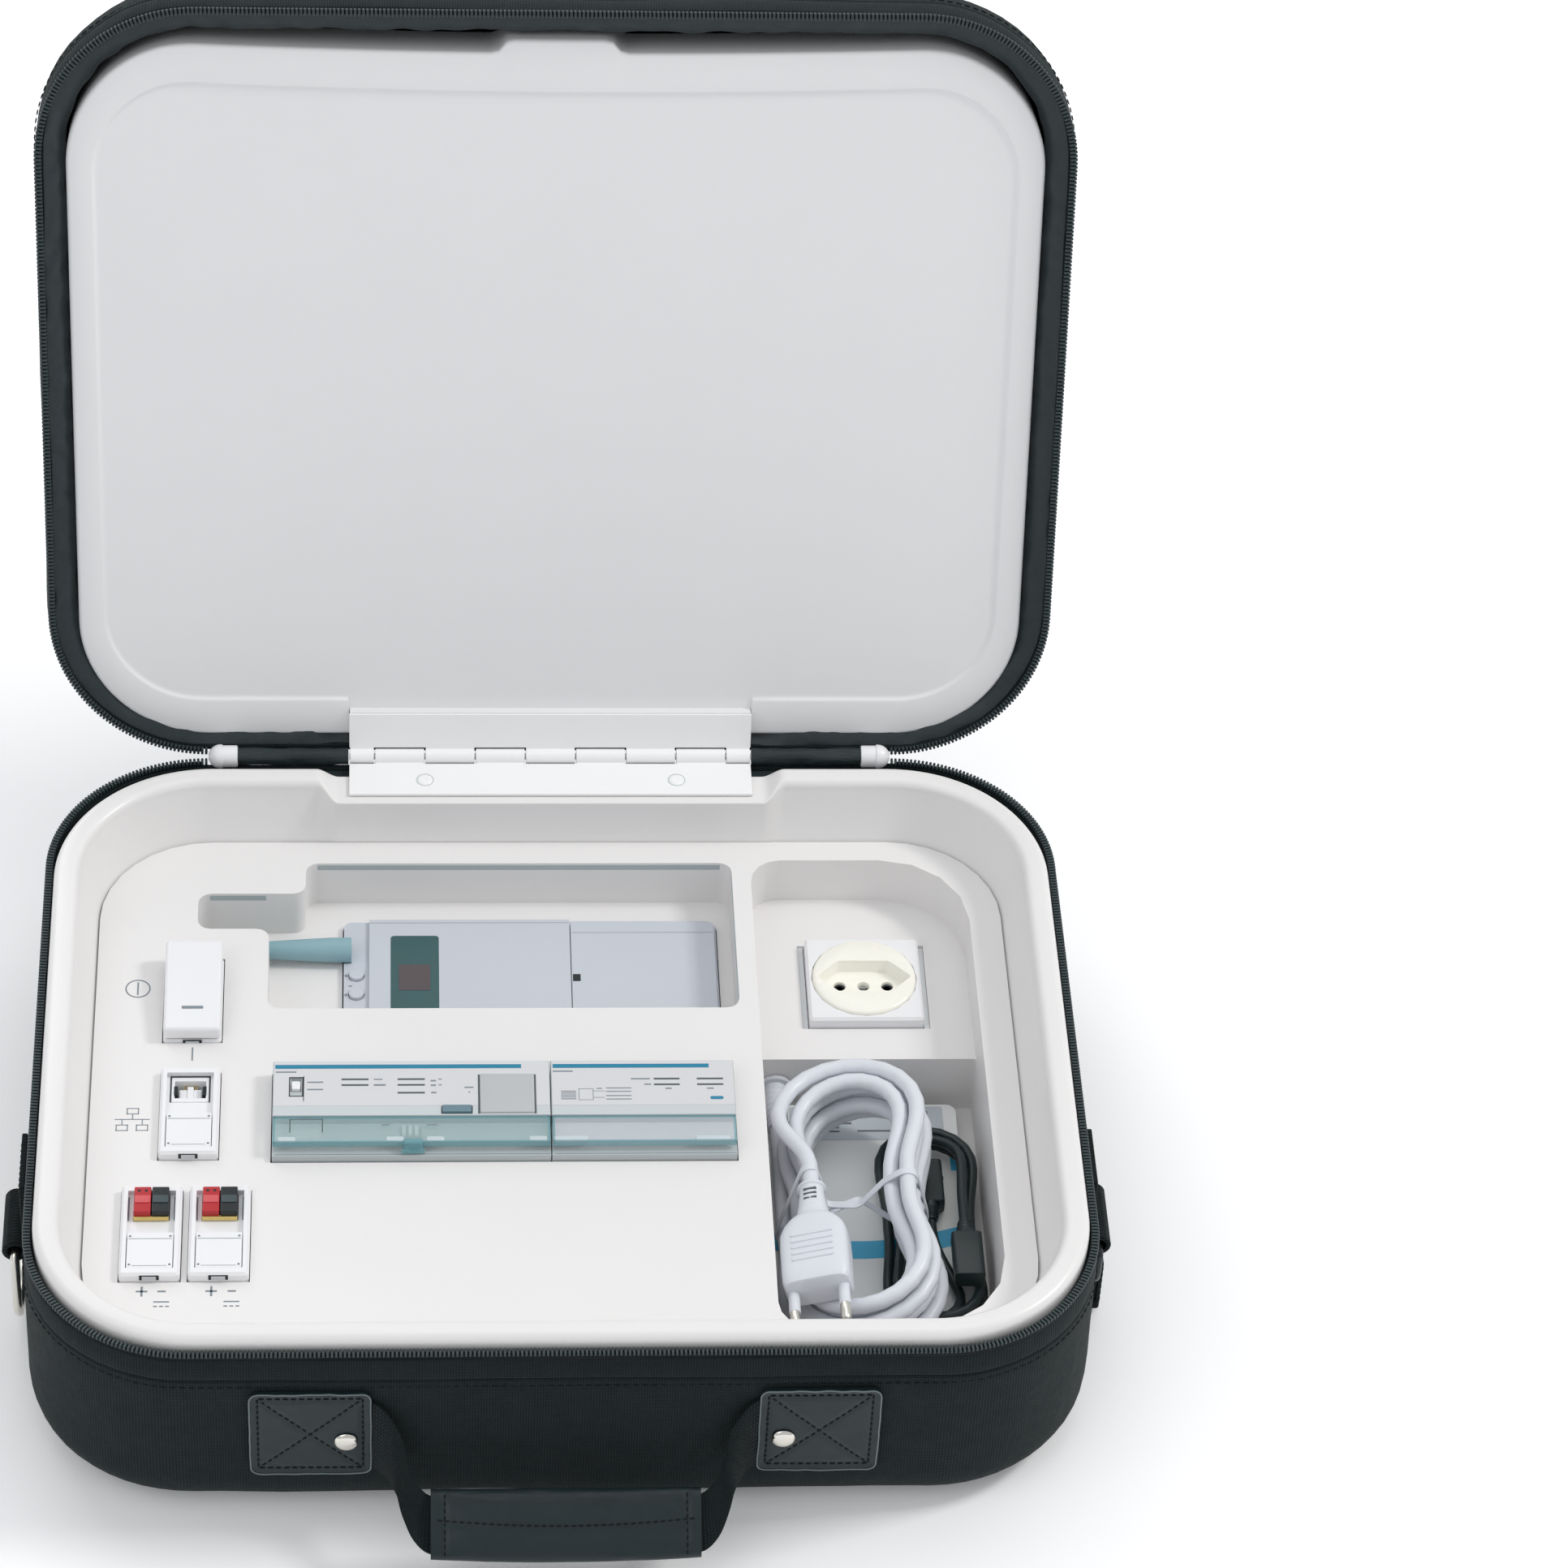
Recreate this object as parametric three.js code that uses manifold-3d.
// Demonstration case for home automation: a zipped textile case, shown open, whose base holds a
// white tray with rail-mounted devices, plug-in inserts, a mains socket and an accessory well.
// Millimetres, +Z up. The origin is the middle of the underside, -Y is the side with the handle.

import * as THREE from 'three';
import { mergeVertices } from 'three/addons/utils/BufferGeometryUtils.js';
import Module from 'manifold-3d';

const wasm = await Module();
wasm.setup();

// Clearances and cutting
const gap = 0.3;
const runningGap = 0.5;
const overrun = 4;

// Facets
const cornerSteps = 8;
const edgeSteps = 4;
const lipSteps = 4;
const curveSteps = 4;
const roundSteps = 20;
const smallRoundSteps = 12;

// Textile case
const shell = { width: 396, depth: 315, baseHeight: 88, lidHeight: 40, corner: 62, edge: 20, wall: 3.5 };
const zip = { width: 3.2, height: 2.4, inset: 0.4 };
const lining = { thickness: 6.8, lidThickness: 8, lidDepth: 17, bevel: 4.2, lidStart: 1 };
const openAngle = 105;

// White liner of the lid
const liner = { side: 12.1, front: 16, rear: 7.1, corner: 50, thickness: 2.5, skirt: 22, step: 1 };
const linerBorder = { side: 10.1, end: 15.7, corner: 38 };
const linerTab = { width: 38, base: 48, height: 4.2 };
const linerFace = 5.3;

// Hinge and the fabric spine on both sides of it
const hinge = {
  halfLength: 80, leaf: 21.5, upperLeaf: 18.5, thickness: 1.2, knuckle: 3.2, pin: 1.2, bore: 1.5,
};
const knucklePitch = 20;
const leafHeight = 0.4;
const spine = { radius: 3.2, end: 135.5, relief: 5 };

// Tray and deck
const tray = { frontInset: 4.3, sideInset: 4, rearInset: 9.5, corner: 60, top: 92, lip: 10, lipRound: 3.5 };
const trayWall = { flange: 84, draft: 6.8, ledge: 7.5, thickness: 2.5 };
const hingeShelf = { drop: 0.3, reach: 15.7, margin: 3.5 };
const deck = { top: 66, thickness: 3, wall: 2.2 };
const shelfDepth = 22;

// Recess in the deck for the gateway and its antenna, as shares of the deck's width and depth
const recessShare = { left: 0.1863, right: 0.7021, front: 0.6536, rear: 0.9551 };
const recess = { corner: 5, step: 14 };
const antennaBay = { front: 4.6, rear: 15, tip: 5.9 };

// Well for the socket and the accessories, whose rear part is a shelf
const wellShare = { left: 0.7233, right: 0.9649, shelf: 0.361 };
const well = { rear: 10.5, front: 10.2, corner: 12, rearCorner: 34, frontCorner: 34, depth: 50 };
const shelfCorner = 1;

// Gateway
const gateway = {
  leftGap: 29, rightGap: 6.1, rearGap: 13.6, frontGap: 6.9, thickness: 25.7, proud: 4, round: 3,
};
const gatewayEnd = { length: 10, drop: 1.6 };
const gatewayCover = { length: 57.9, thickness: 2.2, inset: 0.8 };
const antenna = { length: 54, rootRadius: 5, tipRadius: 2.4, rear: 18.5, socket: 3 };
const gatewayButton = { radius: 3, height: 1.4, travel: 0.8, first: 29.8, pitch: 10.4 };

// Devices on the mounting rail
const module = { pitch: 17.5, bodyDepth: 90, nose: 45, noseProud: 7.7, shoulder: 9 };
const moduleShare = { left: 0.1947, length: 0.5, y: 0.4358, control: 0.6 };
const plate = { length: 28.8, coverDrop: 4.7 };
const coverSize = { thickness: 1.5, lip: 2.6, pivot: 1.1, ledge: 2.9 };
const rail = { width: 35, height: 7.5, inner: 27, sheet: 1, overhang: 7 };
const modeSwitch = { width: 3.2, length: 4, height: 1.2, x: 8.8, y: 13.7, travel: 2.4 };
const programButton = { width: 11, length: 3.6, height: 1.1, x: 69.5, y: 3, travel: 0.6 };

// Plug-in inserts of one half and one whole width
const insert = { width: 22.5, length: 45, depth: 26, proud: 4, chamfer: 1 };
const insertPocket = { width: 17.6, length: 38.4, depth: 2.3 };
const insertShare = { x: 0.1063, rocker: 0.67, network: 0.4401, bus: 0.212 };
const rocker = { height: 6, tilt: 5.9, ridge: 3, mountProud: 1, side: 0.25 };
const network = { jackWidth: 14.6, jackLength: 13, jackDepth: 17 };
const jackPort = { width: 11.8, length: 8.8, depth: 12 };
const bus = { between: 2.8, terminalWidth: 6.3, terminalLength: 12.6 };
const terminal = { height: 14, proud: 2.6 };
const shutter = { length: 17.5, thickness: 1.7, side: 0.3 };
const socketShare = { x: 0.5111, y: 0.4454 };
const socket = { size: 45, proud: 5, depth: 30, sideGap: 2.6, endGap: 0.5, face: 20.6, faceProud: 1.2 };
const socketRecess = { length: 37, width: 17, depth: 5.8, taper: 8.5 };
const socketHole = { radius: 2.4, pitch: 9.4, depth: 14 };

// Carrying handle
const patch = { size: 44, x: 92.5, z: 47, thickness: 2.2 };
const rivet = { radius: 4.4, height: 1.6, inset: 9, drop: 3.5 };
const handle = { pivotOut: 2, pivotDrop: 0.5, droop: 35, reach: 33, strapWidth: 15, strapThickness: 3 };
const grip = { length: 98, width: 27, thickness: 9, round: 3 };

// Strap fittings on both sides
const tab = { width: 28, height: 30, thickness: 2.2, y: -54, bottom: 50, loop: 5, bore: 3.2, drop: 5 };
const ring = { width: 36, wire: 3.5 };
const ringDrop = { left: 38, right: 19 };
const pull = { width: 15, length: 24, thickness: 1.9, bend: 4.7 };

// Accessories in the well. A hank starts shifted in or out of its first loop and ends on top
const guide = { left: 2.75, right: 6.75, front: 7.4, rear: 4, thickness: 7.6, corner: 4 };
const cordMargin = { width: 10.2, length: 31.17 };
const cable = {
  diameter: 4, loopsPerLayer: 1.5, layers: 2, fold: 12, run: 62, waist: 2.4, inside: true, side: 1,
  startShift: -9.6, startRise: 2, endShift: 2, endRise: 6.4,
};
const cableSpot = { x: 21.25, y: 3.2 };
const mains = {
  diameter: 6.2, loopsPerLayer: 1.5, layers: 4, fold: 18.6, run: 71, waist: 5, inside: false, side: -1,
  startShift: 7, startRise: 3.1, endShift: -9.5, endRise: 11.8,
};
const mainsSpot = { x: -3.55, y: 1.2, tilt: 15 };
const strandGap = 0.8;
const leadSides = 8;
const strandSides = 6;
const loopSteps = 24;
const endTurns = 0.3;
const climbTurns = 0.5;
const grommet = {
  radius: 4.8, flange: 7, flangeThickness: 2, length: 10, bore: 3.5, taper: 21, tip: 4.1,
};
const plug = { length: 34, width: 26, thickness: 16, neck: 18, neckEnd: 4.6, neckRoot: 7, round: 4 };
const plugPin = { radius: 2.4, length: 17, pitch: 9.5 };
const cablePlug = {
  width: 11.7, height: 8, length: 21.5, boot: 8, bootRoot: 3.6, bootEnd: 2.5, chamfer: 0.8,
};

// Worked out from the sizes above
const halfWidth = shell.width / 2;
const halfDepth = shell.depth / 2;
const rim = shell.baseHeight - zip.height - 2 * gap;
const axis = { y: halfDepth, z: shell.baseHeight };
const trayArea = {
  left: -halfWidth + tray.sideInset,
  right: halfWidth - tray.sideInset,
  front: -halfDepth + tray.frontInset,
  rear: halfDepth - tray.rearInset,
};
const linerArea = {
  left: -halfWidth + liner.side,
  right: halfWidth - liner.side,
  front: -halfDepth + liner.front,
  rear: halfDepth - liner.rear,
};
const deckInset = tray.lip + trayWall.draft + gap;
const deckArea = inside(trayArea, deckInset);
const ledgeTop = deck.top - deck.thickness - gap;
const shelfTop = deck.top - shelfDepth;

// A place in an area, given as shares of its width from the left and of its depth from the front
const across = (area, share) => area.left + share * (area.right - area.left);
const along = (area, share) => area.front + share * (area.rear - area.front);

// Colours
const paint = (color, roughness, metalness = 0) =>
  new THREE.MeshStandardMaterial({ color, roughness, metalness });
const fabric = paint(0x212c2e, 0.9);
const liningCloth = paint(0x2d373a, 0.55);
const zipBlack = paint(0x1c2325, 0.5);
const trayWhite = paint(0xe8e6e5, 0.35);
const fieldGrey = paint(0xd6d6d8, 0.45);
const enamel = paint(0xe4e4e2, 0.4, 0.3);
const steel = paint(0xb9bcbd, 0.35, 0.9);
const nickel = paint(0xd8d5cc, 0.25, 0.95);
const darkMetal = paint(0x2a2f30, 0.35, 0.7);
const moduleGrey = paint(0xcdcdcf, 0.5);
const clearTeal = paint(0xa0b9bc, 0.15);
const insertWhite = paint(0xebebea, 0.4);
const ivory = paint(0xfaf9f0, 0.35);
const gatewayBlue = paint(0xc8cdd7, 0.4);
const antennaTeal = paint(0x7da5ac, 0.4);
const terminalRed = paint(0xb92328, 0.45);
const terminalBlack = paint(0x0a1c1e, 0.45);
const leatherette = paint(0x2d3c41, 0.5);
const webbing = paint(0x1f2a2c, 0.85);
const cordWhite = paint(0xcdd4e1, 0.45);
const cableBlack = paint(0x283436, 0.5);
const paper = paint(0xcdd4dc, 0.6);
const jackGrey = paint(0xdfe1e2, 0.4);

function inside(area, inset) {
  return {
    left: area.left + inset,
    right: area.right - inset,
    front: area.front + inset,
    rear: area.rear - inset,
  };
}

// A closed body from a geometry, and a geometry from a closed body
function body(geometry) {
  const bare = new THREE.BufferGeometry();
  bare.setAttribute('position', geometry.getAttribute('position'));
  bare.setIndex(geometry.getIndex());
  const merged = mergeVertices(bare);
  return new wasm.Manifold(new wasm.Mesh({
    numProp: 3,
    vertProperties: Float32Array.from(merged.getAttribute('position').array),
    triVerts: Uint32Array.from(merged.getIndex().array),
  }));
}

function geometryOf(solid) {
  const mesh = solid.getMesh();
  const geometry = new THREE.BufferGeometry();
  const positions = Float32Array.from(mesh.vertProperties);
  geometry.setAttribute('position', new THREE.BufferAttribute(positions, 3));
  geometry.setIndex(new THREE.BufferAttribute(Uint32Array.from(mesh.triVerts), 1));
  geometry.computeVertexNormals();
  return geometry;
}

const join = (first, ...rest) => rest.reduce((sum, solid) => sum.add(solid), first);
const cut = (first, ...rest) => rest.reduce((left, solid) => left.subtract(solid), first);

// Basic solids, given by their lowest and highest corner or by their outline
function block(low, high) {
  const size = high.map((value, i) => value - low[i]);
  const middle = high.map((value, i) => (value + low[i]) / 2);
  return body(new THREE.BoxGeometry(...size).translate(...middle));
}

function upright(shape, low, high) {
  const options = { depth: high - low, bevelEnabled: false, curveSegments: curveSteps };
  return body(new THREE.ExtrudeGeometry(shape, options).translate(0, 0, low));
}

function alongX(shape, low, high, curveSegments = curveSteps) {
  const options = { depth: high - low, bevelEnabled: false, curveSegments };
  const turned = new THREE.Matrix4().makeBasis(
    new THREE.Vector3(0, 1, 0), new THREE.Vector3(0, 0, 1), new THREE.Vector3(1, 0, 0));
  return body(new THREE.ExtrudeGeometry(shape, options).applyMatrix4(turned).translate(low, 0, 0));
}

function cylinder(from, to, radius, endRadius = radius, steps = roundSteps) {
  const start = new THREE.Vector3(...from);
  const span = new THREE.Vector3(...to).sub(start);
  const geometry = new THREE.CylinderGeometry(endRadius, radius, span.length(), steps);
  geometry.translate(0, span.length() / 2, 0);
  const turn = new THREE.Quaternion()
    .setFromUnitVectors(new THREE.Vector3(0, 1, 0), span.clone().normalize());
  return body(geometry.applyQuaternion(turn).translate(start.x, start.y, start.z));
}

// Outline of straight sides with a rounded corner at each point, given as [x, y, radius]
function rounded(points) {
  const shape = new THREE.Shape();
  points.forEach(([x, y, radius], i) => {
    const corner = new THREE.Vector2(x, y);
    const towards = ([otherX, otherY]) =>
      new THREE.Vector2(otherX, otherY).sub(corner).setLength(radius).add(corner);
    const start = towards(points.at(i - 1));
    const end = towards(points[(i + 1) % points.length]);
    const controls = [...curveControl(start, corner), ...curveControl(end, corner)];
    if (i === 0) shape.moveTo(start.x, start.y);
    else shape.lineTo(start.x, start.y);
    if (radius > 0) shape.bezierCurveTo(...controls, end.x, end.y);
  });
  shape.closePath();
  return shape;
}

// Control point that makes a cubic curve follow a quarter circle
const arcShare = 0.5523;
const curveControl = (end, corner) => end.clone().lerp(corner, arcShare).toArray();

const rectangle = (area, radius = 0) => rounded([
  [area.left, area.front, radius],
  [area.right, area.front, radius],
  [area.right, area.rear, radius],
  [area.left, area.rear, radius],
]);

const around = (x, y, width, length) => ({
  left: x - width / 2,
  right: x + width / 2,
  front: y - length / 2,
  rear: y + length / 2,
});

// A level ring of points round a rectangle with round corners
function ringAt(area, corner, z) {
  const centres = [
    [area.right - corner, area.rear - corner, 0],
    [area.left + corner, area.rear - corner, 1],
    [area.left + corner, area.front + corner, 2],
    [area.right - corner, area.front + corner, 3],
  ];
  return centres.flatMap(([x, y, quarter]) =>
    Array.from({ length: cornerSteps + 1 }, (unused, k) => {
      const angle = (quarter + k / cornerSteps) * Math.PI / 2;
      return new THREE.Vector3(x + corner * Math.cos(angle), y + corner * Math.sin(angle), z);
    }));
}

// Skin over a stack of rings. A stack that ends where it starts is a hoop, any other gets two caps
function skin(rings, hoop = false) {
  const sides = rings[0].length;
  const positions = rings.flat().flatMap((point) => point.toArray());
  const index = [];
  const bands = hoop ? rings.length : rings.length - 1;
  for (let i = 0; i < bands; i += 1) {
    const low = i * sides;
    const high = ((i + 1) % rings.length) * sides;
    for (let k = 0; k < sides; k += 1) {
      const next = (k + 1) % sides;
      index.push(low + k, low + next, high + k, low + next, high + next, high + k);
    }
  }
  const top = (rings.length - 1) * sides;
  for (let k = 1; !hoop && k < sides - 1; k += 1) {
    index.push(0, k + 1, k, top, top + k, top + k + 1);
  }
  const geometry = new THREE.BufferGeometry();
  geometry.setAttribute('position', new THREE.Float32BufferAttribute(positions, 3));
  geometry.setIndex(index);
  return body(geometry);
}

const stack = (area, corner, profile, hoop = false) =>
  skin(profile.map(([inset, z]) => ringAt(inside(area, inset), corner - inset, z)), hoop);

// Quarter round in the profile of a stack, from one angle to another
const quarter = (inset, z, radius, from, to, steps) =>
  Array.from({ length: steps + 1 }, (unused, k) => {
    const angle = THREE.MathUtils.degToRad(from + (to - from) * k / steps);
    return [inset - radius * Math.cos(angle), z + radius * Math.sin(angle)];
  });

// A round tube along points: rings square to the path, with flat ends
function tube(points, diameter, sides) {
  let side = new THREE.Vector3(0, 0, 1);
  const rings = points.map((point, i) => {
    const before = points[Math.max(i - 1, 0)];
    const after = points[Math.min(i + 1, points.length - 1)];
    const forward = after.clone().sub(before).normalize();
    side = side.clone().addScaledVector(forward, -side.dot(forward)).normalize();
    const other = forward.clone().cross(side);
    return Array.from({ length: sides }, (unused, k) => {
      const angle = 2 * Math.PI * (k + 0.5) / sides;
      return point.clone()
        .addScaledVector(side, Math.cos(angle) * diameter / 2)
        .addScaledVector(other, Math.sin(angle) * diameter / 2);
    });
  });
  return skin(rings);
}

const model = new THREE.Group();

function add(group, name, solid, material) {
  const mesh = new THREE.Mesh(geometryOf(solid), material);
  mesh.name = name;
  group.add(mesh);
}

// Base of the textile case
const caseArea = { left: -halfWidth, right: halfWidth, front: -halfDepth, rear: halfDepth };

function cup(height, floorToRim) {
  const innerEdge = shell.edge - shell.wall;
  return [
    ...quarter(shell.edge, shell.edge, shell.edge, -90, 0, edgeSteps),
    [0, height],
    [shell.wall, height],
    ...quarter(shell.edge, shell.edge, innerEdge, 0, -90, edgeSteps),
  ].map(([inset, z]) => [inset, floorToRim(z)]);
}

const axisRelief = () => cylinder(
  [-spine.end - gap, axis.y, axis.z], [spine.end + gap, axis.y, axis.z], spine.relief);

function makeBaseShell() {
  const shellBody = stack(caseArea, shell.corner, cup(rim, (z) => z));
  add(model, 'base_shell', cut(shellBody, axisRelief()), fabric);
}

function makeBaseLining() {
  const start = shell.wall + gap;
  const profile = [
    [start, shell.edge],
    [start, trayWall.flange - gap],
    [start + lining.thickness, trayWall.flange - gap],
    [start + lining.thickness, shell.edge],
  ];
  add(model, 'base_lining', stack(caseArea, shell.corner, profile, true), liningCloth);
}

// The zip runs round the rim and leaves the back free for the hinge and the spine
const zipBreak = () => block(
  [-spine.end - runningGap, halfDepth - shell.corner, -shell.lidHeight],
  [spine.end + runningGap, halfDepth + overrun, shell.baseHeight + shell.lidHeight]);

function zipRing(low) {
  const outer = zip.inset;
  const inner = zip.inset + zip.width;
  const profile = [[outer, low], [outer, low + zip.height], [inner, low + zip.height], [inner, low]];
  return cut(stack(caseArea, shell.corner, profile, true), zipBreak());
}

// Everything of the lid is laid out closed and turned open about the hinge axis
const lid = new THREE.Group();
lid.position.set(0, axis.y, axis.z);
lid.rotation.x = -THREE.MathUtils.degToRad(openAngle);
const lidSpace = new THREE.Group();
lidSpace.position.set(0, -axis.y, -axis.z);
lid.add(lidSpace);
model.add(lid);

const lidZ = (height) => shell.baseHeight + height;
const lidRim = zip.height + 2 * gap;

function makeLidShell() {
  const profile = cup(shell.lidHeight - lidRim, (z) => lidZ(shell.lidHeight - z));
  const turned = profile.reverse();
  add(lidSpace, 'lid_shell', cut(stack(caseArea, shell.corner, turned), axisRelief()), fabric);
}

function makeLidLining() {
  const start = shell.wall + gap;
  const end = start + lining.lidThickness;
  const profile = [
    [start, lidZ(lining.lidStart + lidRim)],
    [start, lidZ(lining.lidStart + lining.lidDepth)],
    [end, lidZ(lining.lidStart + lining.lidDepth)],
    [end, lidZ(lining.lidStart + lining.bevel)],
  ];
  const ringBody = stack(caseArea, shell.corner, profile, true);
  const hingeSpace = block(
    [-hinge.halfLength - runningGap, halfDepth - liner.rear - gap, lidZ(-overrun)],
    [hinge.halfLength + runningGap, halfDepth + overrun, lidZ(linerFace + liner.thickness + gap)]);
  const linerSpace = upright(
    rectangle(inside(linerArea, -gap), liner.corner + gap), lidZ(-overrun), lidZ(shell.lidHeight));
  add(lidSpace, 'lid_lining', cut(ringBody, axisRelief(), hingeSpace, linerSpace), liningCloth);
}

// White liner of the lid: a border, a field set back from it and a skirt behind
function makeLidLiner() {
  const area = linerArea;
  const field = {
    left: area.left + linerBorder.side,
    right: area.right - linerBorder.side,
    front: area.front + linerBorder.end,
    rear: area.rear - linerBorder.end,
  };
  const top = lidZ(linerFace + liner.skirt);
  const face = lidZ(linerFace);
  const back = face + liner.thickness + liner.step;
  const sheet = upright(rectangle(area, liner.corner), face, back);
  const innerCorner = liner.corner - liner.thickness;
  const hollow = upright(rectangle(inside(area, liner.thickness), innerCorner), back, top + overrun);
  const outer = upright(rectangle(area, liner.corner), back, top);
  const setBack = upright(rectangle(field, linerBorder.corner), face - overrun, face + liner.step);
  const tongue = {
    left: -hinge.halfLength,
    right: hinge.halfLength,
    front: halfDepth - hinge.upperLeaf - linerBorder.end,
    rear: area.rear + overrun,
  };
  const tonguePocket = upright(rectangle(tongue), face - overrun, face + liner.step);
  const padLow = lidZ(leafHeight + hinge.thickness + gap);
  const pad = block(
    [-hinge.halfLength + gap, halfDepth - hinge.upperLeaf, padLow],
    [hinge.halfLength - gap, area.rear, face + liner.step + liner.thickness]);
  const tabShape = rounded([
    [-linerTab.base / 2, area.front + runningGap, 0],
    [-linerTab.width / 2, area.front - linerTab.height, linerTab.height / 2],
    [linerTab.width / 2, area.front - linerTab.height, linerTab.height / 2],
    [linerTab.base / 2, area.front + runningGap, 0],
  ]);
  const tabBody = upright(tabShape, face, back);
  const white = join(cut(join(sheet, cut(outer, hollow)), setBack, tonguePocket), pad, tabBody);
  add(lidSpace, 'lid_liner', white, fieldGrey);
}

// Hinge: two leaves whose knuckles take turns on one pin
const knuckleEdges = () => {
  const count = Math.round(2 * hinge.halfLength / knucklePitch);
  const pitch = 2 * hinge.halfLength / count;
  const inner = Array.from({ length: count }, (unused, k) => -hinge.halfLength + pitch * (k + 1 / 2));
  return [-hinge.halfLength, ...inner, hinge.halfLength];
};

function leafWithKnuckles(reach, low, high, first) {
  const reliefY = axis.y - hinge.knuckle - runningGap;
  let leafBody = block([-hinge.halfLength, axis.y - reach, low], [hinge.halfLength, reliefY, high]);
  const edges = knuckleEdges();
  for (let k = first; k < edges.length - 1; k += 2) {
    const from = edges[k] + gap;
    const to = edges[k + 1] - gap;
    const lug = block([from, reliefY - gap, low], [to, axis.y, high]);
    leafBody = join(leafBody, lug, cylinder([from, axis.y, axis.z], [to, axis.y, axis.z], hinge.knuckle));
  }
  const bore = cylinder(
    [-hinge.halfLength - overrun, axis.y, axis.z],
    [hinge.halfLength + overrun, axis.y, axis.z],
    hinge.bore, hinge.bore, smallRoundSteps);
  return cut(leafBody, bore);
}

function makeHinge() {
  const lower = leafWithKnuckles(hinge.leaf, lidZ(-leafHeight - hinge.thickness), lidZ(-leafHeight), 1);
  add(model, 'hinge_lower_leaf', lower, enamel);
  const upper = leafWithKnuckles(hinge.upperLeaf, lidZ(leafHeight), lidZ(leafHeight + hinge.thickness), 0);
  add(lidSpace, 'hinge_upper_leaf', upper, enamel);
  const pinBody = cylinder(
    [-hinge.halfLength, axis.y, axis.z],
    [hinge.halfLength, axis.y, axis.z],
    hinge.pin, hinge.pin, smallRoundSteps);
  add(model, 'hinge_pin', pinBody, steel);
}

function makeSpine(name, side) {
  const from = [side * (hinge.halfLength + gap), axis.y, axis.z];
  const to = [side * spine.end, axis.y, axis.z];
  add(model, `spine_fabric_${name}`, cylinder(from, to, spine.radius), liningCloth);
}

// Tray: a rolled lip, a drafted wall and the ledge that carries the deck
function makeTray() {
  const round = tray.lipRound;
  const wallFoot = tray.lip + trayWall.draft;
  const ledgeUnder = ledgeTop - trayWall.thickness;
  const profile = [
    [0, trayWall.flange],
    ...quarter(round, tray.top - round, round, 0, 90, lipSteps),
    ...quarter(tray.lip - round, tray.top - round, round, 90, 180, lipSteps),
    [wallFoot, ledgeTop],
    [wallFoot + trayWall.ledge, ledgeTop],
    [wallFoot + trayWall.ledge, ledgeUnder],
    [wallFoot - trayWall.thickness, ledgeUnder],
    [tray.lip - trayWall.thickness, trayWall.flange],
  ];
  const ringBody = stack(trayArea, tray.corner, profile, true);
  const half = hinge.halfLength + hingeShelf.margin;
  const shelfTopZ = lidZ(-leafHeight - hinge.thickness - hingeShelf.drop);
  const front = trayArea.rear - hingeShelf.reach;
  const seat = block([-half, front, trayWall.flange], [half, trayArea.rear, shelfTopZ]);
  const apron = block([-half, front, ledgeTop], [half, front + trayWall.thickness, shelfTopZ]);
  const notch = block([-half, front, shelfTopZ], [half, trayArea.rear + overrun, tray.top + overrun]);
  add(model, 'tray', cut(join(ringBody, seat, apron), notch), trayWhite);
}

// Deck: one moulded panel with its pockets
const recessArea = {
  left: across(deckArea, recessShare.left),
  right: across(deckArea, recessShare.right),
  front: along(deckArea, recessShare.front),
  rear: along(deckArea, recessShare.rear),
};
const gatewayArea = {
  left: recessArea.left + gateway.leftGap,
  right: recessArea.right - gateway.rightGap,
  front: recessArea.front + gateway.frontGap,
  rear: recessArea.rear - gateway.rearGap,
};
const antennaY = gatewayArea.rear - antenna.rear;
const antennaRoot = gatewayArea.left + antenna.socket;

function recessOutline(grow) {
  const { left, right, front, rear } = recessArea;
  const bayFront = antennaY - antennaBay.front;
  const bayRear = antennaY + antennaBay.rear;
  const bayLeft = antennaRoot - antenna.length - antennaBay.tip;
  const r = recess.corner;
  return rounded([
    [left - grow, front - grow, r],
    [right + grow, front - grow, r],
    [right + grow, rear + grow, r],
    [left + recess.step - grow, rear + grow, r],
    [left + recess.step - grow, bayRear + grow, r],
    [bayLeft - grow, bayRear + grow, r],
    [bayLeft - grow, bayFront - grow, r],
    [left - grow, bayFront - grow, r],
  ]);
}

const wellArea = {
  left: across(deckArea, wellShare.left),
  right: across(deckArea, wellShare.right),
  front: deckArea.front + well.front,
  rear: deckArea.rear - well.rear,
};
const wellFloor = deck.top - well.depth;
const shelfFront = along(wellArea, 1 - wellShare.shelf);
const shelfArea = { ...wellArea, front: shelfFront };
const compartment = { ...wellArea, rear: shelfFront };
const socketSpot = { x: across(shelfArea, socketShare.x), y: along(shelfArea, socketShare.y) };

function wellOutline(grow) {
  const { left, right, front, rear } = wellArea;
  return rounded([
    [left - grow, front - grow, well.corner],
    [right + grow, front - grow, well.frontCorner],
    [right + grow, rear + grow, well.rearCorner],
    [left - grow, rear + grow, well.corner],
  ]);
}

function compartmentOutline(grow) {
  const { left, right, front, rear } = compartment;
  return rounded([
    [left - grow, front - grow, well.corner],
    [right + grow, front - grow, well.frontCorner],
    [right + grow, rear + grow, shelfCorner],
    [left - grow, rear + grow, shelfCorner],
  ]);
}

const gatewayTop = shelfTop + gateway.proud;
const gatewayFloor = gatewayTop - gateway.thickness - gap;

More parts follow.
